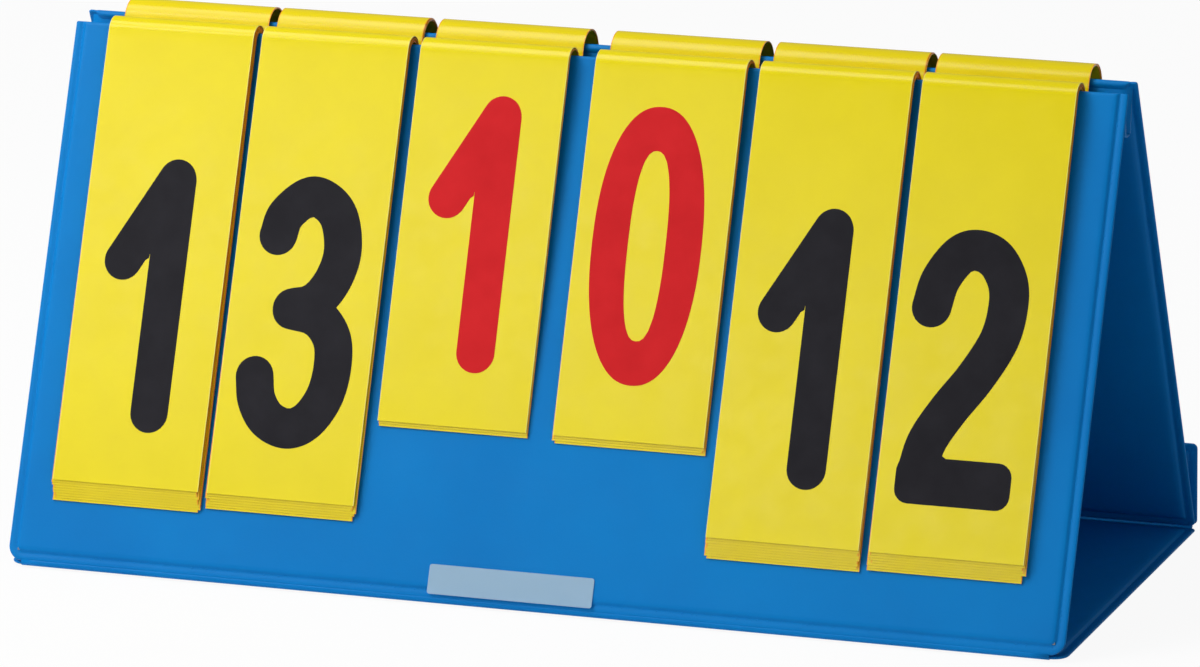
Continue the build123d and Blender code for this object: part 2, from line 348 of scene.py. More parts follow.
# ---- rear flap ----
# A low strip of the same make, vinyl welded round a board. It stands up from the rear edge of the base, behind
# the foot of the rear panel, and holds the tent closed.
flap_height = 36.0
flap_foot, flap_top = flap_fold + yz(0, fold_reach), yz(flap_fold[0], flap_height - half_panel)
panel(
    "flap_vinyl", "flap", flap_foot, flap_top, yz(1, 0), free_corner,
    "flap_outer_skin", "flap_inner_skin",
)

# ---- rear panel ----
# The twin of the front panel: two vinyl skins welded round a board, with a folded top. Its foot stands on the
# base, just inside the flap, with a little clearance to both.
clearance = 0.3
rear_ridge = front_ridge + yz(13.1, 1.7)
rear_foot = yz(foot_reach - panel_thickness - clearance - half_panel, panel_thickness + clearance + half_panel)
rear_up = (rear_ridge - rear_foot) / np.linalg.norm(rear_ridge - rear_foot)
rear_out = yz(rear_up[1], -rear_up[0])
panel(
    "rear_panel_vinyl", "rear_panel", rear_foot, rear_ridge, rear_out, free_corner,
    "rear_outer_skin", "rear_inner_skin", folded_top=True,
)

# ---- stiffener boards ----
# Grey packing board, sealed between the skins. It only shows if a weld opens, but it is finished all the same.
grey_board, tree = shader("grey_board")
fibre = noise(tree, 700, 4)
card_colour = mix_in(tree, fibre, (0.21, 0.19, 0.16), (0.36, 0.33, 0.28))
principled(tree, card_colour, span(tree, fibre, 0.8, 0.95), bump(tree, fibre, 0.4, 0.0001))
for name in ("front_board", "rear_board", "base_board", "flap_board"):
    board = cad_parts[name]
    board.data.materials.clear()
    board.data.materials.append(grey_board)

# ---- soft folds ----
# Where the front panel meets the base, and the base meets the flap, the two skins run on without a board. They
# are welded to each other and bend there like a hinge.
web_reach, web_half = 2.3, 0.5


def swept(profile, reach, count):
    """Grid of points: a side view profile carried along the case, from -reach to reach."""
    grid = np.zeros((count, len(profile), 3))
    grid[..., 0] = np.linspace(-reach, reach, count)[:, None]
    grid[..., 1:] = np.asarray(profile)[None]
    return grid


def bent_strip(name, low, corner, high, half, ends):
    """Strip round a bend in the side view, from low over a rounded corner to high, in millimetres."""
    steps = np.linspace(0, 1, 17)[:, None]
    path = (1 - steps) ** 2 * low + 2 * steps * (1 - steps) * corner + steps**2 * high
    grid = swept(path, case_width / 2 - ends, 61)
    thin = np.interp(np.arange(17), (0, 2, 14, 16), (half * 0.6, half, half, half * 0.6))
    return solid_sheet(name, grid, np.tile(thin, (61, 1)))


for name, bodies, low, corner, high, ends in (
    ("front_fold", ("case", "base_panel"), front_fold + front_up * web_reach, front_fold,
     front_fold + yz(web_reach, 0), fold_corner),
    ("flap_fold", ("base_panel", "flap"), flap_fold - yz(web_reach, 0), flap_fold,
     flap_fold + yz(0, web_reach), free_corner),
):
    web = bent_strip(f"{name}_vinyl", low, corner + (corner - (low + high) / 2) * 0.35, high, web_half, ends)
    piece = add_piece(f"{name}_vinyl", web, blue_vinyl, None, "blue_vinyl", name)
    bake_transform(piece)

# ---- ribbed welds ----
# The welding bar has fine teeth. They press a row of small ribs into the rim of each panel, which show on both
# of its faces.
def tree_with(name, inputs):
    """A Geometry Nodes tree with named inputs, given as (name, kind, value)."""
    tree = bpy.data.node_groups.new(name, "GeometryNodeTree")
    tree.interface.new_socket("Geometry", in_out="INPUT", socket_type="NodeSocketGeometry")
    tree.interface.new_socket("Geometry", in_out="OUTPUT", socket_type="NodeSocketGeometry")
    sockets = {}
    for label, kind, value in inputs:
        socket = tree.interface.new_socket(label, in_out="INPUT", socket_type=f"NodeSocket{kind}")
        if value is not None:
            socket.default_value = value
        sockets[label] = socket.identifier
    return tree, sockets, tree.nodes.new("NodeGroupInput"), tree.nodes.new("NodeGroupOutput")


def grow(name, source, tree, sockets, values):
    """Runs a tree on a mesh once, and gives back the plain mesh that it makes."""
    holder = bpy.data.objects.new(name, source)
    bpy.context.collection.objects.link(holder)
    modifier = holder.modifiers.new("grow", "NODES")
    modifier.node_group = tree
    for label, value in values.items():
        modifier[sockets[label]] = value
    bpy.context.view_layer.update()
    ready = holder.evaluated_get(bpy.context.evaluated_depsgraph_get())
    mesh = bpy.data.meshes.new_from_object(ready)
    mesh.name = name
    holder.modifiers.remove(modifier)
    bpy.data.objects.remove(holder)
    return mesh


def realized(tree, instances):
    """Turns the copies in a tree into plain geometry."""
    return add_node(tree, "GeometryNodeRealizeInstances", {"Geometry": instances}).outputs["Geometry"]


def close_tree(tree, geometry, into, out_of):
    """Ends a tree: gives the geometry its Material input and hands it out."""
    inputs = {"Geometry": geometry, "Material": into.outputs["Material"]}
    coated = add_node(tree, "GeometryNodeSetMaterial", inputs)
    tree.links.new(coated.outputs["Geometry"], out_of.inputs["Geometry"])


def lines(name, runs):
    """Loose edges through runs of points in millimetres, for a tree to follow."""
    points, edges = [], []
    for run in runs:
        edges += [(len(points) + k, len(points) + k + 1) for k in range(len(run) - 1)]
        points += [tuple(float(value) * MM for value in point) for point in run]
    mesh = bpy.data.meshes.new(name)
    mesh.from_pydata(points, edges, [])
    return mesh


rib_tree, rib_sockets, into, out_of = tree_with(
    "rib_row",
    (
        ("Pitch", "Float", 0.002), ("Rib length", "Float", 0.0011), ("Rib width", "Float", 0.0013),
        ("Rib height", "Float", 0.0012), ("Unevenness", "Float", 0.25), ("Seed", "Int", 3),
        ("Material", "Material", None),
    ),
)
to_curve = add_node(rib_tree, "GeometryNodeMeshToCurve", {"Mesh": into.outputs["Geometry"]})
resample = add_node(
    rib_tree, "GeometryNodeResampleCurve",
    {"Curve": to_curve.outputs["Curve"], "Length": into.outputs["Pitch"]}, mode="LENGTH",
)
tangent = rib_tree.nodes.new("GeometryNodeInputTangent")
aim = add_node(rib_tree, "FunctionNodeAlignRotationToVector", {"Vector": tangent.outputs[0]}, axis="X")
rib = add_node(rib_tree, "GeometryNodeMeshUVSphere", {"Segments": 8, "Rings": 5, "Radius": 0.5})
least = operate(rib_tree, "SUBTRACT", 1.0, into.outputs["Unevenness"])
uneven = add_node(
    rib_tree, "FunctionNodeRandomValue", {2: least, 3: 1.0, "Seed": into.outputs["Seed"]}, data_type="FLOAT",
)
shape = add_node(rib_tree, "ShaderNodeCombineXYZ", {
    axis: operate(rib_tree, "MULTIPLY", into.outputs[label], uneven.outputs[1])
    for axis, label in (("X", "Rib length"), ("Y", "Rib width"), ("Z", "Rib height"))
})
place = add_node(rib_tree, "GeometryNodeInstanceOnPoints", {
    "Points": resample.outputs["Curve"], "Instance": rib.outputs["Mesh"],
    "Rotation": aim.outputs["Rotation"], "Scale": shape.outputs[0],
})
smooth = add_node(
    rib_tree, "GeometryNodeSetShadeSmooth", {"Geometry": realized(rib_tree, place.outputs["Instances"])},
)
close_tree(rib_tree, smooth.outputs["Geometry"], into, out_of)

weld_inset = 3.0
for name, body, low, high, top_too in (
    ("front", "case", front_fold + front_up * fold_reach, front_ridge, False),
    ("rear", "rear_panel", rear_foot, rear_ridge, False),
    ("base", "base_panel", base_front, base_rear, True),
    ("flap", "flap", flap_foot, flap_top, True),
):
    along = (high - low) / np.linalg.norm(high - low)
    first = low + along * (weld_inset - half_panel)
    last = high - along * ((weld_inset - half_panel) if top_too else 1.0)
    side = case_width / 2 - weld_inset
    run = [(-side, *last), (-side, *first), (side, *first), (side, *last)]
    if top_too:
        run.append((-side, *last))
    ribs = grow(
        f"{name}_weld", lines(f"{name}_weld_line", [run[k:k + 2] for k in range(len(run) - 1)]), rib_tree,
        rib_sockets, {"Material": blue_vinyl, "Seed": 3},
    )
    add_piece(f"{name}_weld_ribs", ribs, blue_vinyl, body, "blue_vinyl")

# ---- valley between the ridges ----
# Behind the front ridge the vinyl goes down as a soft wall, and comes up again to the rear ridge. The spine
# tape lies between the two and takes the roots of all the leaves.
valley = yz((front_ridge[0] + rear_ridge[0]) / 2, rear_ridge[1] - 17.9)
bend = valley + yz(0.55, 10.8)
gusset_reach = 213.0
leaf_half = 0.125
front_depth, rear_depth, root_gap = 2.65, 1.45, 0.05    # of the bound roots, and the play beside them
spine_front = bend[0] - front_depth - leaf_half - root_gap
spine_rear = bend[0] + rear_depth + leaf_half + root_gap
for name, body, low, high, lean in (
    ("front_gusset", "case", yz(spine_front - 0.6 - 0.05 - 0.6, valley[1]), front_ridge, 0.5),
    ("rear_gusset", "rear_panel", yz(spine_rear + 0.25 + 0.6, valley[1]), rear_ridge, -0.5),
):
    lengthwise = np.linspace(-gusset_reach, gusset_reach, 87)
    down = np.linspace(0, 1, 13)
    x, t = np.meshgrid(lengthwise, down, indexing="ij")
    sag = lean * np.sin(t * math.pi) + 0.18 * np.sin(x / 17 + 2 * t) * np.sin(t * math.pi)
    grid = np.stack([x, low[0] + (high[0] - low[0]) * t + sag, low[1] + (high[1] - low[1]) * t], axis=2)
    mesh = solid_sheet(f"{name}_vinyl", grid, 0.45)
    add_piece(f"{name}_vinyl", mesh, blue_vinyl, body, "blue_vinyl", name)

spine_path = [
    yz(spine_front - 0.3, valley[1] + 5.8), yz(spine_front - 0.3, valley[1] + 0.4),
    yz(spine_front - 0.1, valley[1] - 0.2), yz(spine_front + 0.4, valley[1] - 0.3),
    yz(spine_rear - 0.3, valley[1] - 0.3),
]
binding = solid_sheet("spine_binding", swept(spine_path, gusset_reach, 61), 0.28)
add_piece("spine_binding", binding, blue_vinyl, "case", "blue_vinyl", "spine_tape")

# ---- spine stitches ----
# A straight lockstitch of blue polyester thread along the lip of the spine tape. It goes through the tape and
# through all the leaf roots that the tape holds.
blue_thread, tree = shader("blue_thread")
where = tree.nodes.new("ShaderNodeTexCoord").outputs["Object"]
twist = add_node(
    tree, "ShaderNodeTexWave", {"Scale": 900, "Distortion": 1.5, "Vector": where}, bands_direction="DIAGONAL",
).outputs["Fac"]
yarn_colour = mix_in(tree, twist, (0.001, 0.09, 0.30), (0.004, 0.18, 0.50))
principled(tree, yarn_colour, 0.7, bump(tree, twist, 0.6, 0.00015))
row = [(x, spine_front - 0.6 - 0.2, valley[1] + 4.6) for x in (-207, 207)]
stitches = grow(
    "spine_stitching", lines("stitch_line", [row]), rib_tree, rib_sockets,
    {
        "Pitch": 0.006, "Rib length": 0.0044, "Rib width": 0.0006, "Rib height": 0.0006,
        "Unevenness": 0.08, "Material": blue_thread,
    },
)
add_piece("spine_stitching", stitches, blue_thread, "case", "blue_thread", "spine_stitches")

# ---- number leaves ----
# Each leaf is a strip of thin yellow plastic sheet. It is bound in the valley, arches over a ridge and hangs
# down that side. The leaves of a stack lie against each other, and each deeper one reaches a step lower.
def sheet_plastic(name, deep, light, painted_edge_light_and_shade, painted_edge_width):
    """Yellow plastic sheet with a fine slanting weave and faint clouding. A thin band along its side edges
    takes the edge colour, which is painted light and shade, not a colour of the sheet.
    """
    material, tree = shader(name)
    flat = add_node(tree, "ShaderNodeUVMap", uv_map="sheet").outputs[0]
    colour = mix_in(tree, span(tree, noise(tree, 22, 3, flat), 0, 1), deep, light)
    split = add_node(tree, "ShaderNodeSeparateXYZ", {0: flat})
    edge_at = leaf_width * MM / 2
    # The band along the side edges where the edge colour is painted in, standing in for light and shade on the
    # cut edges.
    painted_edge_mask = span(tree, operate(tree, "ABSOLUTE", split.outputs[0]), 0, 1, edge_at - painted_edge_width, edge_at)
    weave = add_node(
        tree, "ShaderNodeTexWave", {"Scale": 520, "Distortion": 0.8, "Vector": flat},
        bands_direction="DIAGONAL",
    )
    soft = bump(tree, noise(tree, 30, 1, flat), 0.3, 0.0004)
    principled(
        tree, mix_in(tree, painted_edge_mask, colour, painted_edge_light_and_shade), span(tree, noise(tree, 90, 3, flat), 0.20, 0.27),
        bump(tree, weave.outputs["Fac"], 0.12, 0.00006, soft), Specular_IOR_Level=0.3,
    )
    return material


leaf_width = 61.0
# The top leaves. The pale band along their side edges is a painted highlight.
yellow_sheet = sheet_plastic(
    "yellow_sheet", (0.86, 0.70, 0.0), (0.91, 0.75, 0.0), (0.95, 0.86, 0.22), 0.0004,
)
# The leaves in the stacks under them. This is the same sheet painted a little darker and more orange, which is
# painted shade. Their orange-brown side edges are painted shade too, standing in for the sheet's edges seen in
# shadow.
yellow_under_painted_shade = sheet_plastic(
    "yellow_under_painted_shade", (0.84, 0.66, 0.001), (0.90, 0.72, 0.003), (0.95, 0.36, 0.015), 0.0006,
)
front_clear, rear_clear = 0.25, 0.5     # between each ridge and the deepest leaf over it
first_pitch, leaf_pitch, stair_step = 0.55, 0.3, 0.96
root_floor = valley[1] + 0.8
front_arch = front_ridge + yz(-0.6, -1.6)
rear_arch = rear_ridge + yz(5.1, -3.0)
front_radius = np.linalg.norm(front_arch - front_ridge) + half_panel + front_clear + front_depth + leaf_half
rear_radius = np.linalg.norm(rear_arch - rear_ridge) + half_panel + rear_clear + rear_depth + leaf_half
rear_base = rear_foot - rear_up * half_panel + rear_out * half_panel


def bow(rise, down):
    """How far a leaf bows out at that share of its hang. rise stays below the gap to the next leaf."""
    return rise * np.sin(np.clip(down, 0, 1) ** 0.8 * math.pi)


class LeafPath:
    """Side view of the leaf that turns next, as points with the way that a deeper leaf moves off each.

    side is -1 in front and 1 behind, clear is how far its bottom edge is up the panel, and stack how far it
    lies off the panel there.
    """

    def __init__(self, side, clear, stack):
        arch, radius = (front_arch, front_radius) if side < 0 else (rear_arch, rear_radius)
        foot, up, out = (front_foot, front_up, front_out) if side < 0 else (rear_base, rear_up, rear_out)
        reach = arch - bend
        strip = math.atan2(side * reach[0], reach[1]) - math.asin(radius / np.linalg.norm(reach))
        low = foot + up * clear + out * stack
        rise = arch - low
        hang = math.atan2(-side * rise[0], rise[1]) - math.asin(radius / np.linalg.norm(rise))
        self.hang_up = yz(-side * math.sin(hang), math.cos(hang))
        self.hang_out = yz(-self.hang_up[1], self.hang_up[0]) * -side
        self.low = low
        angles = np.linspace(strip, math.pi - hang, 29)
        arc = np.stack([-side * np.cos(angles), np.sin(angles)], axis=1)
        start = arch + arc[0] * radius
        end = arch + arc[-1] * radius
        corner_in = yz(side, -math.tan(strip / 2))
        rows = [(yz(bend[0], root_floor) * (1 - t) + bend * t, yz(side, 0) * (1 - t) + corner_in * t, 0)
                for t in np.linspace(0, 1, 6)[:-1]]
        self.bend_row = len(rows)
        rows += [(bend * (1 - t) + start * t, corner_in * (1 - t) - arc[0] * t, 0)
                 for t in np.linspace(0, 1, 9)[:-1]]
        rows += [(arch + way * radius, -way, 0) for way in arc]
        self.hang_row = len(rows) - 1
        rows += [(end * (1 - t) + low * t, -self.hang_out, t) for t in np.linspace(0, 1, 45)[1:]]
        self.points = np.array([row[0] for row in rows])
        self.inward = np.array([row[1] for row in rows])
        self.drop = np.array([row[2] for row in rows])[:, None] * -self.hang_up
        steps = np.linalg.norm(np.diff(self.points, axis=0), axis=1)
        self.length = np.concatenate([[0], np.cumsum(steps)])
        self.hang = np.clip(self.length - self.length[self.hang_row], 0, None)
        self.fall = self.hang[-1]

    def surface(self, centre, rise=0.0, first=0):
        """Grid of the leaf's middle surface from row first on, bowed out by rise."""
        across = np.linspace(-leaf_width / 2, leaf_width / 2, 13)
        push = bow(rise, self.hang / self.fall)
        grid = np.zeros((13, len(self.points), 3))
        grid[..., 0] = centre + across[:, None]
        grid[..., 1:] = (self.points + self.hang_out * push[:, None])[None]
        uv = np.stack(np.broadcast_arrays(across[:, None], self.length[None]), axis=2)
        return grid[:, first:], uv[:, first:]


columns = (
    # name, middle, leaves in front, turned leaves, bottom edge of the front leaf up the panel
    ("left_tens", -168.0, 9, 2, 36.0),
    ("left_ones", -103.5, 7, 4, 36.0),
    ("left_sets", -37.5, 3, 2, 70.0),
    ("right_sets", 34.5, 4, 1, 70.0),
    ("right_tens", 101.0, 9, 2, 36.0),
    ("right_ones", 166.0, 8, 3, 36.0),
)

stack_tree, stack_sockets, into, out_of = tree_with(
    "leaf_stack",
    (
        ("Leaves", "Int", 3), ("First pitch", "Float", first_pitch * MM), ("Pitch", "Float", leaf_pitch * MM),
        ("Stair", "Float", stair_step * MM), ("Sideways", "Float", 0.0004), ("Slant", "Float", 0.004),
        ("Thickness", "Float", 2 * leaf_half * MM), ("Seed", "Int", 1), ("Material", "Material", None),
    ),
)
VECTOR = "ShaderNodeVectorMath"


def attribute(tree, label, kind):
    named = add_node(tree, "GeometryNodeInputNamedAttribute", {"Name": label}, data_type=kind)
    return named.outputs["Attribute"]


each = add_node(stack_tree, "GeometryNodePoints", {"Count": into.outputs["Leaves"]})
copies = add_node(
    stack_tree, "GeometryNodeInstanceOnPoints",
    {"Points": each.outputs["Points"], "Instance": into.outputs["Geometry"]},
)
counter = stack_tree.nodes.new("GeometryNodeInputIndex")
number = add_node(
    stack_tree, "GeometryNodeStoreNamedAttribute",
    {"Name": "place", "Geometry": copies.outputs["Instances"], "Value": counter.outputs[0]},
    data_type="INT", domain="INSTANCE",
)
apart = realized(stack_tree, number.outputs["Geometry"])
place_of = attribute(stack_tree, "place", "INT")
further = operate(stack_tree, "MULTIPLY", place_of, into.outputs["Pitch"])
inset = operate(stack_tree, "ADD", into.outputs["First pitch"], further)
lower = operate(stack_tree, "MULTIPLY", operate(stack_tree, "ADD", place_of, 1), into.outputs["Stair"])
moved = operate(stack_tree, "ADD", *(
    operate(stack_tree, "SCALE", attribute(stack_tree, label, "FLOAT_VECTOR"), amount, VECTOR)
    for label, amount in (("inward", inset), ("drop", lower))
), VECTOR)
shifts = []
for offset, label in ((0, "Sideways"), (7, "Slant")):
    seed = operate(stack_tree, "ADD", into.outputs["Seed"], offset)
    chance = add_node(
        stack_tree, "FunctionNodeRandomValue", {2: -1, 3: 1, "ID": place_of, "Seed": seed}, data_type="FLOAT",
    )
    shifts.append(operate(stack_tree, "MULTIPLY", chance.outputs[1], into.outputs[label]))
slanted = operate(stack_tree, "MULTIPLY", shifts[1], attribute(stack_tree, "hang", "FLOAT"))
sideways = add_node(stack_tree, "ShaderNodeCombineXYZ", {"X": operate(stack_tree, "ADD", shifts[0], slanted)})
shift_all = operate(stack_tree, "ADD", moved, sideways.outputs[0], VECTOR)
put = add_node(stack_tree, "GeometryNodeSetPosition", {"Geometry": apart, "Offset": shift_all})
half_back = operate(stack_tree, "MULTIPLY", into.outputs["Thickness"], -0.5)
normal = stack_tree.nodes.new("GeometryNodeInputNormal").outputs[0]
back = add_node(stack_tree, "GeometryNodeSetPosition", {
    "Geometry": put.outputs["Geometry"], "Offset": operate(stack_tree, "SCALE", normal, half_back, VECTOR),
}).outputs["Geometry"]
thicken = add_node(
    stack_tree, "GeometryNodeExtrudeMesh",
    {"Individual": False, "Mesh": back, "Offset Scale": into.outputs["Thickness"]}, mode="FACES",
)
reverse = add_node(stack_tree, "GeometryNodeFlipFaces", {"Mesh": back})
joined = stack_tree.nodes.new("GeometryNodeJoinGeometry")
for side in (thicken, reverse):
    stack_tree.links.new(side.outputs["Mesh"], joined.inputs["Geometry"])
merged = add_node(
    stack_tree, "GeometryNodeMergeByDistance", {"Distance": 1e-6, "Geometry": joined.outputs["Geometry"]},
)
close_tree(stack_tree, realized(stack_tree, merged.outputs["Geometry"]), into, out_of)


def open_sheet(name, path, grid, uv):
    """The bare middle surface of a leaf, with what the stack tree reads from it."""
    rows, count = grid.shape[:2]
    index = np.arange(rows * count).reshape(rows, count)
    faces = [
        (int(index[i, j]), int(index[i + 1, j]), int(index[i + 1, j + 1]), int(index[i, j + 1]))
        for i in range(rows - 1) for j in range(count - 1)
    ]
    mesh = bpy.data.meshes.new(name)
    mesh.from_pydata((grid.reshape(-1, 3) * MM).tolist(), [], faces)
    for label, values in (("inward", path.inward), ("drop", path.drop)):
        layer = mesh.attributes.new(label, "FLOAT_VECTOR", "POINT")
        flat = np.zeros((rows, count, 3), np.float32)
        flat[..., 1:] = values[None]
        layer.data.foreach_set("vector", flat.ravel())
    layer = mesh.attributes.new("hang", "FLOAT", "POINT")
    layer.data.foreach_set("value", np.tile(path.hang * MM, rows).astype(np.float32))
    layer = mesh.uv_layers.new(name="sheet")
    corners = np.array([loop.vertex_index for loop in mesh.loops])
    layer.data.foreach_set("uv", (uv.reshape(-1, 2) * MM)[corners].astype(np.float32).ravel())
    return mesh


leaf_bow = 0.15
slant_of = {}


def first_slide(stack, centre):
    """How far the uppermost leaf of a stack lies sideways, and how much further for each part of its hang."""
    count = len(stack.vertices)
    spots, place, hang = np.zeros(count * 3), np.zeros(count, np.int32), np.zeros(count)
    stack.vertices.foreach_get("co", spots)
    stack.attributes["place"].data.foreach_get("value", place)
    stack.attributes["hang"].data.foreach_get("value", hang)
    x = spots.reshape(-1, 3)[:, 0] / MM
    top, foot = (x[(place == 0) & mask].mean() for mask in (hang <= 0, hang >= hang.max() - 1e-6))
    return top - centre, (foot - top) / (hang.max() / MM)


def stack_depth(under):
    """How far the leaf that turns lies off the panel, with so many leaves under it."""
    return clearance + leaf_half + first_pitch + (under - 1) * leaf_pitch


number_leaves, number_paths = {}, {}
for seed, (name, centre, fronts, rears, clear) in enumerate(columns):
    front = LeafPath(-1, clear, stack_depth(fronts - 1))
    rear = LeafPath(1, clear, stack_depth(rears))
    number_paths[name] = front
    for path, count, body, label, node in (
        (front, fronts - 1, "case", "waiting", "front_leaves"),
        (rear, rears, "rear_panel", "turned", "rear_leaves"),
    ):
        grid, uv = path.surface(centre, leaf_bow if path is front else 0.0)
        if path is front:
            grid, uv = grid[::-1], uv[::-1]
        stack = grow(
            f"{name}_{label}_leaves", open_sheet(f"{name}_{label}", path, grid, uv),
            stack_tree, stack_sockets,
            {"Leaves": count, "Seed": seed + 1, "Material": yellow_under_painted_shade},
        )
        for face in stack.polygons:
            face.use_smooth = True
        stack.set_sharp_from_angle(angle=math.radians(40))
        slant_of[name, body] = first_slide(stack, centre)
        add_piece(f"{name}_{label}_leaves", stack, yellow_under_painted_shade, body, "yellow_sheet", f"{name}_{node}")

    grid, uv = front.surface(centre, leaf_bow, front.bend_row)
    leaf = solid_sheet(f"{name}_number_leaf", grid, leaf_half, uv, crisp=True)
    piece = add_piece(f"{name}_number_leaf", leaf, yellow_sheet, None, "yellow_sheet",
                      f"{name}_top_arch", f"{name}_top_leaf")
    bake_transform(piece)
    number_leaves[name] = piece, front.length[-1] - front.length[front.bend_row]

# ---- numerals ----
# Screen-printed on the front of each leaf, black for the score and red for the sets. The leaf under the one
# that turns next carries the following number. The reverse of the leaves is bare.
def ink(name, shade, light):
    """Screen ink: nearly even, a little duller than the sheet, with a trace of the mesh it went through."""
    material, tree = shader(name)
    patches = noise(tree, 70, 3)
    principled(
        tree, mix_in(tree, span(tree, patches, 0, 1), shade, light), span(tree, patches, 0.34, 0.44),
        bump(tree, noise(tree, 2500, 2), 0.2, 0.00005), Specular_IOR_Level=0.08,
    )
    return material


black_ink = ink("black_ink", (0.014, 0.013, 0.017), (0.021, 0.020, 0.025))
red_ink = ink("red_ink", (0.64, 0.012, 0.016), (0.71, 0.018, 0.022))
stroke = 7.8


def to_run(x, y, run):
    """Distance of each point from a run of points."""
    nearest = np.full(x.shape, 1e9)
    for (ax, ay), (bx, by) in zip(run, run[1:]):
        t = np.clip(((x - ax) * (bx - ax) + (y - ay) * (by - ay)) / ((bx - ax) ** 2 + (by - ay) ** 2), 0, 1)
        nearest = np.minimum(nearest, np.hypot(x - ax - t * (bx - ax), y - ay - t * (by - ay)))
    return nearest


def round_run(points):
    """A smooth run through a few points, by Catmull and Rom's rule."""
    before, after = 2 * np.array(points[0]) - points[1], 2 * np.array(points[-1]) - points[-2]
    ends = [before, *map(np.array, points), after]
    run = []
    for a, b, c, d in zip(ends, ends[1:], ends[2:], ends[3:]):
        for t in np.linspace(0, 1, 9)[:-1]:
            run.append(0.5 * (2 * b + (c - a) * t + (2 * a - 5 * b + 4 * c - d) * t**2
                              + (3 * b - a - 3 * c + d) * t**3))
    return run + [ends[-2]]


def oval(x, y, wide, high, power):
    """Below 0 inside a rounded oval round (-1.4, 75.3), and about a distance near its edge."""
    reach = (np.abs((x + 1.4) / wide) ** power + np.abs((y - 75.3) / high) ** power) ** (1 / power)
    return (reach - 1) * wide


def numeral_shape(figure, x, y):
    """Below 0 inside a numeral. x is across the leaf and y up from its bottom edge, in millimetres."""
    if figure == 0:
        return np.maximum(oval(x, y, 22.1, 53.9, 2.25), -oval(x, y, 7.6, 36.8, 2.5))
    if figure == 1:
        runs = [[(6.4, 120.6), (6.3, 29.0)], [(6.2, 121.2), (-12.3, 87.9)]]
    if figure == 2:
        hook = round_run([
            (-16.7, 94.5), (-14.4, 105), (-8.2, 114.6), (-1.6, 117.3), (6.2, 114.6), (12.0, 106), (13.2, 96),
            (11.0, 83.5), (3.4, 69), (-5.6, 56), (-12.6, 43.5), (-15.3, 31.5),
        ])
        past_x, past_y = np.clip(np.abs(x + 0.7) - 17.2, 0, None), np.clip(np.abs(y - 28.5) - 3.5, 0, None)
        foot = np.hypot(past_x, past_y) - 5.5
        return np.minimum(to_run(x, y, hook) - stroke, foot)
    if figure == 3:
        runs = [
            round_run([(-13.7, 102.4), (-11.2, 111), (-1.4, 118.6), (9.4, 112.8), (13.6, 99), (11, 86.5),
                       (4.2, 77.2), (-4.6, 74.4)]),
            round_run([(-4.6, 74.0), (6.2, 71.8), (13.4, 64), (15.1, 53), (13.2, 41), (7.2, 31.2),
                       (-0.6, 27.6), (-9.2, 30.6), (-14.6, 38), (-16.5, 47)]),
        ]
    if figure == 4:
        runs = [[(-2.0, 120.5), (-15.4, 54)], [(-15.4, 53), (15.2, 53)], [(7.2, 88), (7.2, 29)]]
    return np.min([to_run(x, y, run) for run in runs], axis=0) - stroke


def numeral_mesh(name, figure, place):
    """Thin ink in the shape of a numeral. place puts (across, up from the bottom edge, lift) on the leaf."""
    cell = 1.5
    xs, ys = np.arange(-27, 27.1, cell), np.arange(16, 134, cell)
    x, y = np.meshgrid(xs, ys, indexing="ij")
    value = numeral_shape(figure, x, y)
    shape = bmesh.new()
    known = {}

    def vertex(a, b):
        """The grid point a, or where the outline crosses from a to b."""
        key = (a, b)
        if key not in known:
            t = 0 if a == b else value[a] / (value[a] - value[b])
            px, py = x[a] + (x[b] - x[a]) * t, y[a] + (y[b] - y[a]) * t
            known[key] = shape.verts.new([k * MM for k in place(px, py, 0.06)])
        return known[key]

    for i in range(len(xs) - 1):
        for j in range(len(ys) - 1):
            ring = [(i, j), (i + 1, j), (i + 1, j + 1), (i, j + 1)]
            corners = []
            for a, b in zip(ring, ring[1:] + ring[:1]):
                if value[a] < 0:
                    corners.append(vertex(a, a))
                if (value[a] < 0) != (value[b] < 0):
                    corners.append(vertex(*((a, b) if a < b else (b, a))))
            if len(corners) > 2:
                shape.faces.new(corners)
    bmesh.ops.remove_doubles(shape, verts=shape.verts, dist=5e-6)
    out = Vector(place(0, 75, 1)) - Vector(place(0, 75, 0))
    shape.normal_update()
    if sum(face.normal.dot(out) for face in shape.faces) < 0:
        bmesh.ops.reverse_faces(shape, faces=shape.faces)
    bmesh.ops.solidify(shape, geom=shape.faces, thickness=0.04 * MM)
    bmesh.ops.recalc_face_normals(shape, faces=shape.faces)
    mesh = bpy.data.meshes.new(name)
    shape.to_mesh(mesh)
    shape.free()
    return mesh


figures = {
    "left_tens": 1, "left_ones": 3, "left_sets": 1, "right_sets": 0, "right_tens": 1, "right_ones": 2,
}
for name, centre, fronts, rears, clear in columns:
    path = number_paths[name]
    for inset, step, body, label, figure in (
        (0, 0, f"{name}_leaf", "front", figures[name]),
        (first_pitch, 1, "case", "next", figures[name] + 1),
    ):
        slide = slant_of[name, "case"] if step else (0.0, 0.0)

        def place(px, py, lift):
            hang = path.fall - py
            off = bow(leaf_bow, hang / path.fall) - inset + leaf_half + lift
            point = path.low + path.hang_up * (py - step * stair_step) + path.hang_out * off
            return (centre + px + slide[0] + slide[1] * hang, *point)

        mesh = numeral_mesh(f"{name}_{label}_numeral", figure, place)
        kind = red_ink if "sets" in name else black_ink
        numeral = add_piece(f"{name}_{label}_numeral", mesh, kind, body, "yellow_sheet")
        if label == "front":
            leaf, length = number_leaves[name]

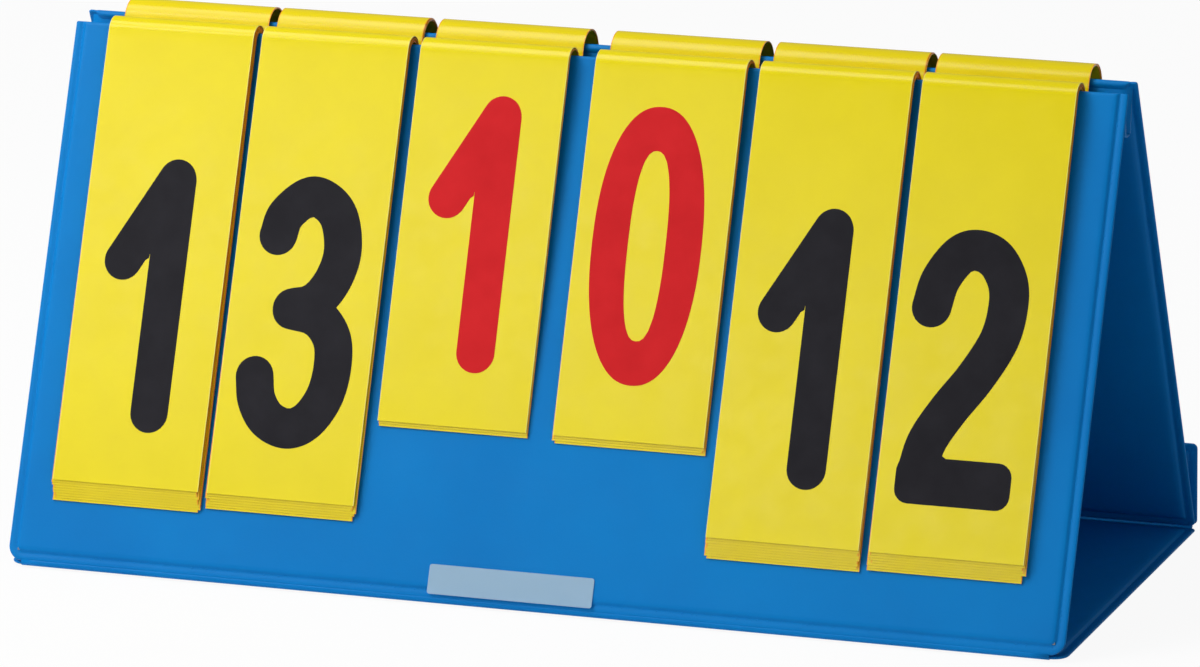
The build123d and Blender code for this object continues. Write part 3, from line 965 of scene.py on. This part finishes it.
# ---- bound ends of the turning leaves ----
# The part of each turning leaf that stands in the valley, sewn into the spine with the others. It is the same
# yellow sheet, and only its upper edge goes on into the arch.
path = number_paths["left_tens"]
roots = []
for name, centre, fronts, rears, clear in columns:
    grid, uv = path.surface(centre)
    bound = slice(0, path.bend_row + 1)
    roots.append(solid_sheet("root", grid[:, bound], leaf_half, uv[:, bound], crisp=True))
shape = bmesh.new()
for root in roots:
    shape.from_mesh(root)
joined_roots = bpy.data.meshes.new("bound_leaf_ends")
shape.to_mesh(joined_roots)
shape.free()
add_piece("bound_leaf_ends", joined_roots, yellow_sheet, "case", "yellow_sheet", "top_leaf_roots")

# ---- name window ----
# A pocket of clear film near the foot of the front panel, welded on along its edges. A name card slides in
# behind it. Here it is empty.
clear_film, tree = shader("clear_film")
principled(tree, (0.40, 0.62, 0.80, 1), 0.22, bump(tree, noise(tree, 90, 2), 0.35, 0.0003), Alpha=0.62)
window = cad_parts["name_window"]
window.data.materials.clear()
window.data.materials.append(clear_film)

# ---- hook and loop strips ----
# Two pairs of woven tape hold the flap to the foot of the rear panel: hooks on the flap, loops on the panel.
# They are stuck and welded on before the panels are closed.
def pile_tape(name, shade, light, rough):
    """Woven tape with a fuzzy pile, a little paler where the pile stands up."""
    material, tree = shader(name)
    fuzz = noise(tree, 2600, 3)
    principled(tree, mix_in(tree, fuzz, shade, light), rough, bump(tree, fuzz, 0.8, 0.0004))
    return material


pile_tree, pile_sockets, into, out_of = tree_with(
    "tape_pile",
    (
        ("Density", "Float", 700000), ("Pile width", "Float", 0.0005), ("Pile height", "Float", 0.0009),
        ("Lean", "Float", 0.5), ("Seed", "Int", 5), ("Material", "Material", None),
    ),
)
scatter = add_node(pile_tree, "GeometryNodeDistributePointsOnFaces", {
    "Mesh": into.outputs["Geometry"], "Density": into.outputs["Density"], "Seed": into.outputs["Seed"],
})
tuft = add_node(pile_tree, "GeometryNodeMeshIcoSphere", {"Radius": 0.5, "Subdivisions": 1})
size = add_node(pile_tree, "ShaderNodeCombineXYZ", {
    axis: into.outputs[label]
    for axis, label in (("X", "Pile width"), ("Y", "Pile width"), ("Z", "Pile height"))
})
lean = operate(pile_tree, "MULTIPLY", into.outputs["Lean"], -1)
tilt = add_node(
    pile_tree, "FunctionNodeRandomValue",
    {0: lean, 1: into.outputs["Lean"], "Seed": into.outputs["Seed"]}, data_type="FLOAT_VECTOR",
)
swing = add_node(pile_tree, "FunctionNodeEulerToRotation", {0: tilt.outputs[0]})
stand = add_node(
    pile_tree, "FunctionNodeRotateRotation", {0: scatter.outputs["Rotation"], 1: swing.outputs[0]},
)
planted = add_node(pile_tree, "GeometryNodeInstanceOnPoints", {
    "Points": scatter.outputs["Points"], "Instance": tuft.outputs["Mesh"],
    "Rotation": stand.outputs[0], "Scale": size.outputs[0],
})
close_tree(pile_tree, realized(pile_tree, planted.outputs["Instances"]), into, out_of)

tape_low, tape_height, tape_reach = 10, 15, 30      # up from the table, and half its length
rear_face = rear_foot + rear_out * half_panel
for name, body, low, up, out, material in (
    ("loop", "rear_panel", rear_face + rear_up * ((tape_low - rear_face[1]) / rear_up[1]), rear_up, rear_out,
     pile_tape("loop_tape", (0.004, 0.03, 0.10), (0.02, 0.10, 0.28), 0.95)),
    ("hook", "flap", yz(foot_reach - panel_thickness, tape_low), yz(0, 1), yz(-1, 0),
     pile_tape("hook_tape", (0.004, 0.02, 0.07), (0.015, 0.06, 0.17), 0.6)),
):
    tape, faces, corners = [], [], []
    for middle in (-120, 120):
        grid = np.zeros((13, 5, 3))
        grid[..., 0] = np.linspace(middle - tape_reach, middle + tape_reach, 13)[:, None]
        grid[..., 1:] = (low + out * 0.3)[None, None] + np.linspace(0, tape_height, 5)[None, :, None] * up
        tape.append(solid_sheet("tape", grid, 0.28, crisp=True))
        left, right, top = middle - tape_reach + 1, middle + tape_reach - 1, tape_height - 1
        face = [(left, 1), (right, 1), (right, top), (left, top)]
        corners += [(x, *(low + out * 0.56 + up * t)) for x, t in (face if name == "hook" else face[::-1])]
        faces.append(tuple(range(len(corners) - 4, len(corners))))
    patch = bpy.data.meshes.new("pile_patch")
    patch.from_pydata([tuple(k * MM for k in corner) for corner in corners], [], faces)
    pile = grow(f"{name}_pile", patch, pile_tree, pile_sockets,
                {"Material": material, "Pile height": 0.0008 if name == "hook" else 0.0006})
    shape = bmesh.new()
    for part in (*tape, pile):
        shape.from_mesh(part)
    mesh = bpy.data.meshes.new(f"{name}_tape_strips")
    shape.to_mesh(mesh)
    shape.free()
    add_piece(f"{name}_tape_strips", mesh, material, body, f"{name}_tape", f"{name}_strips")
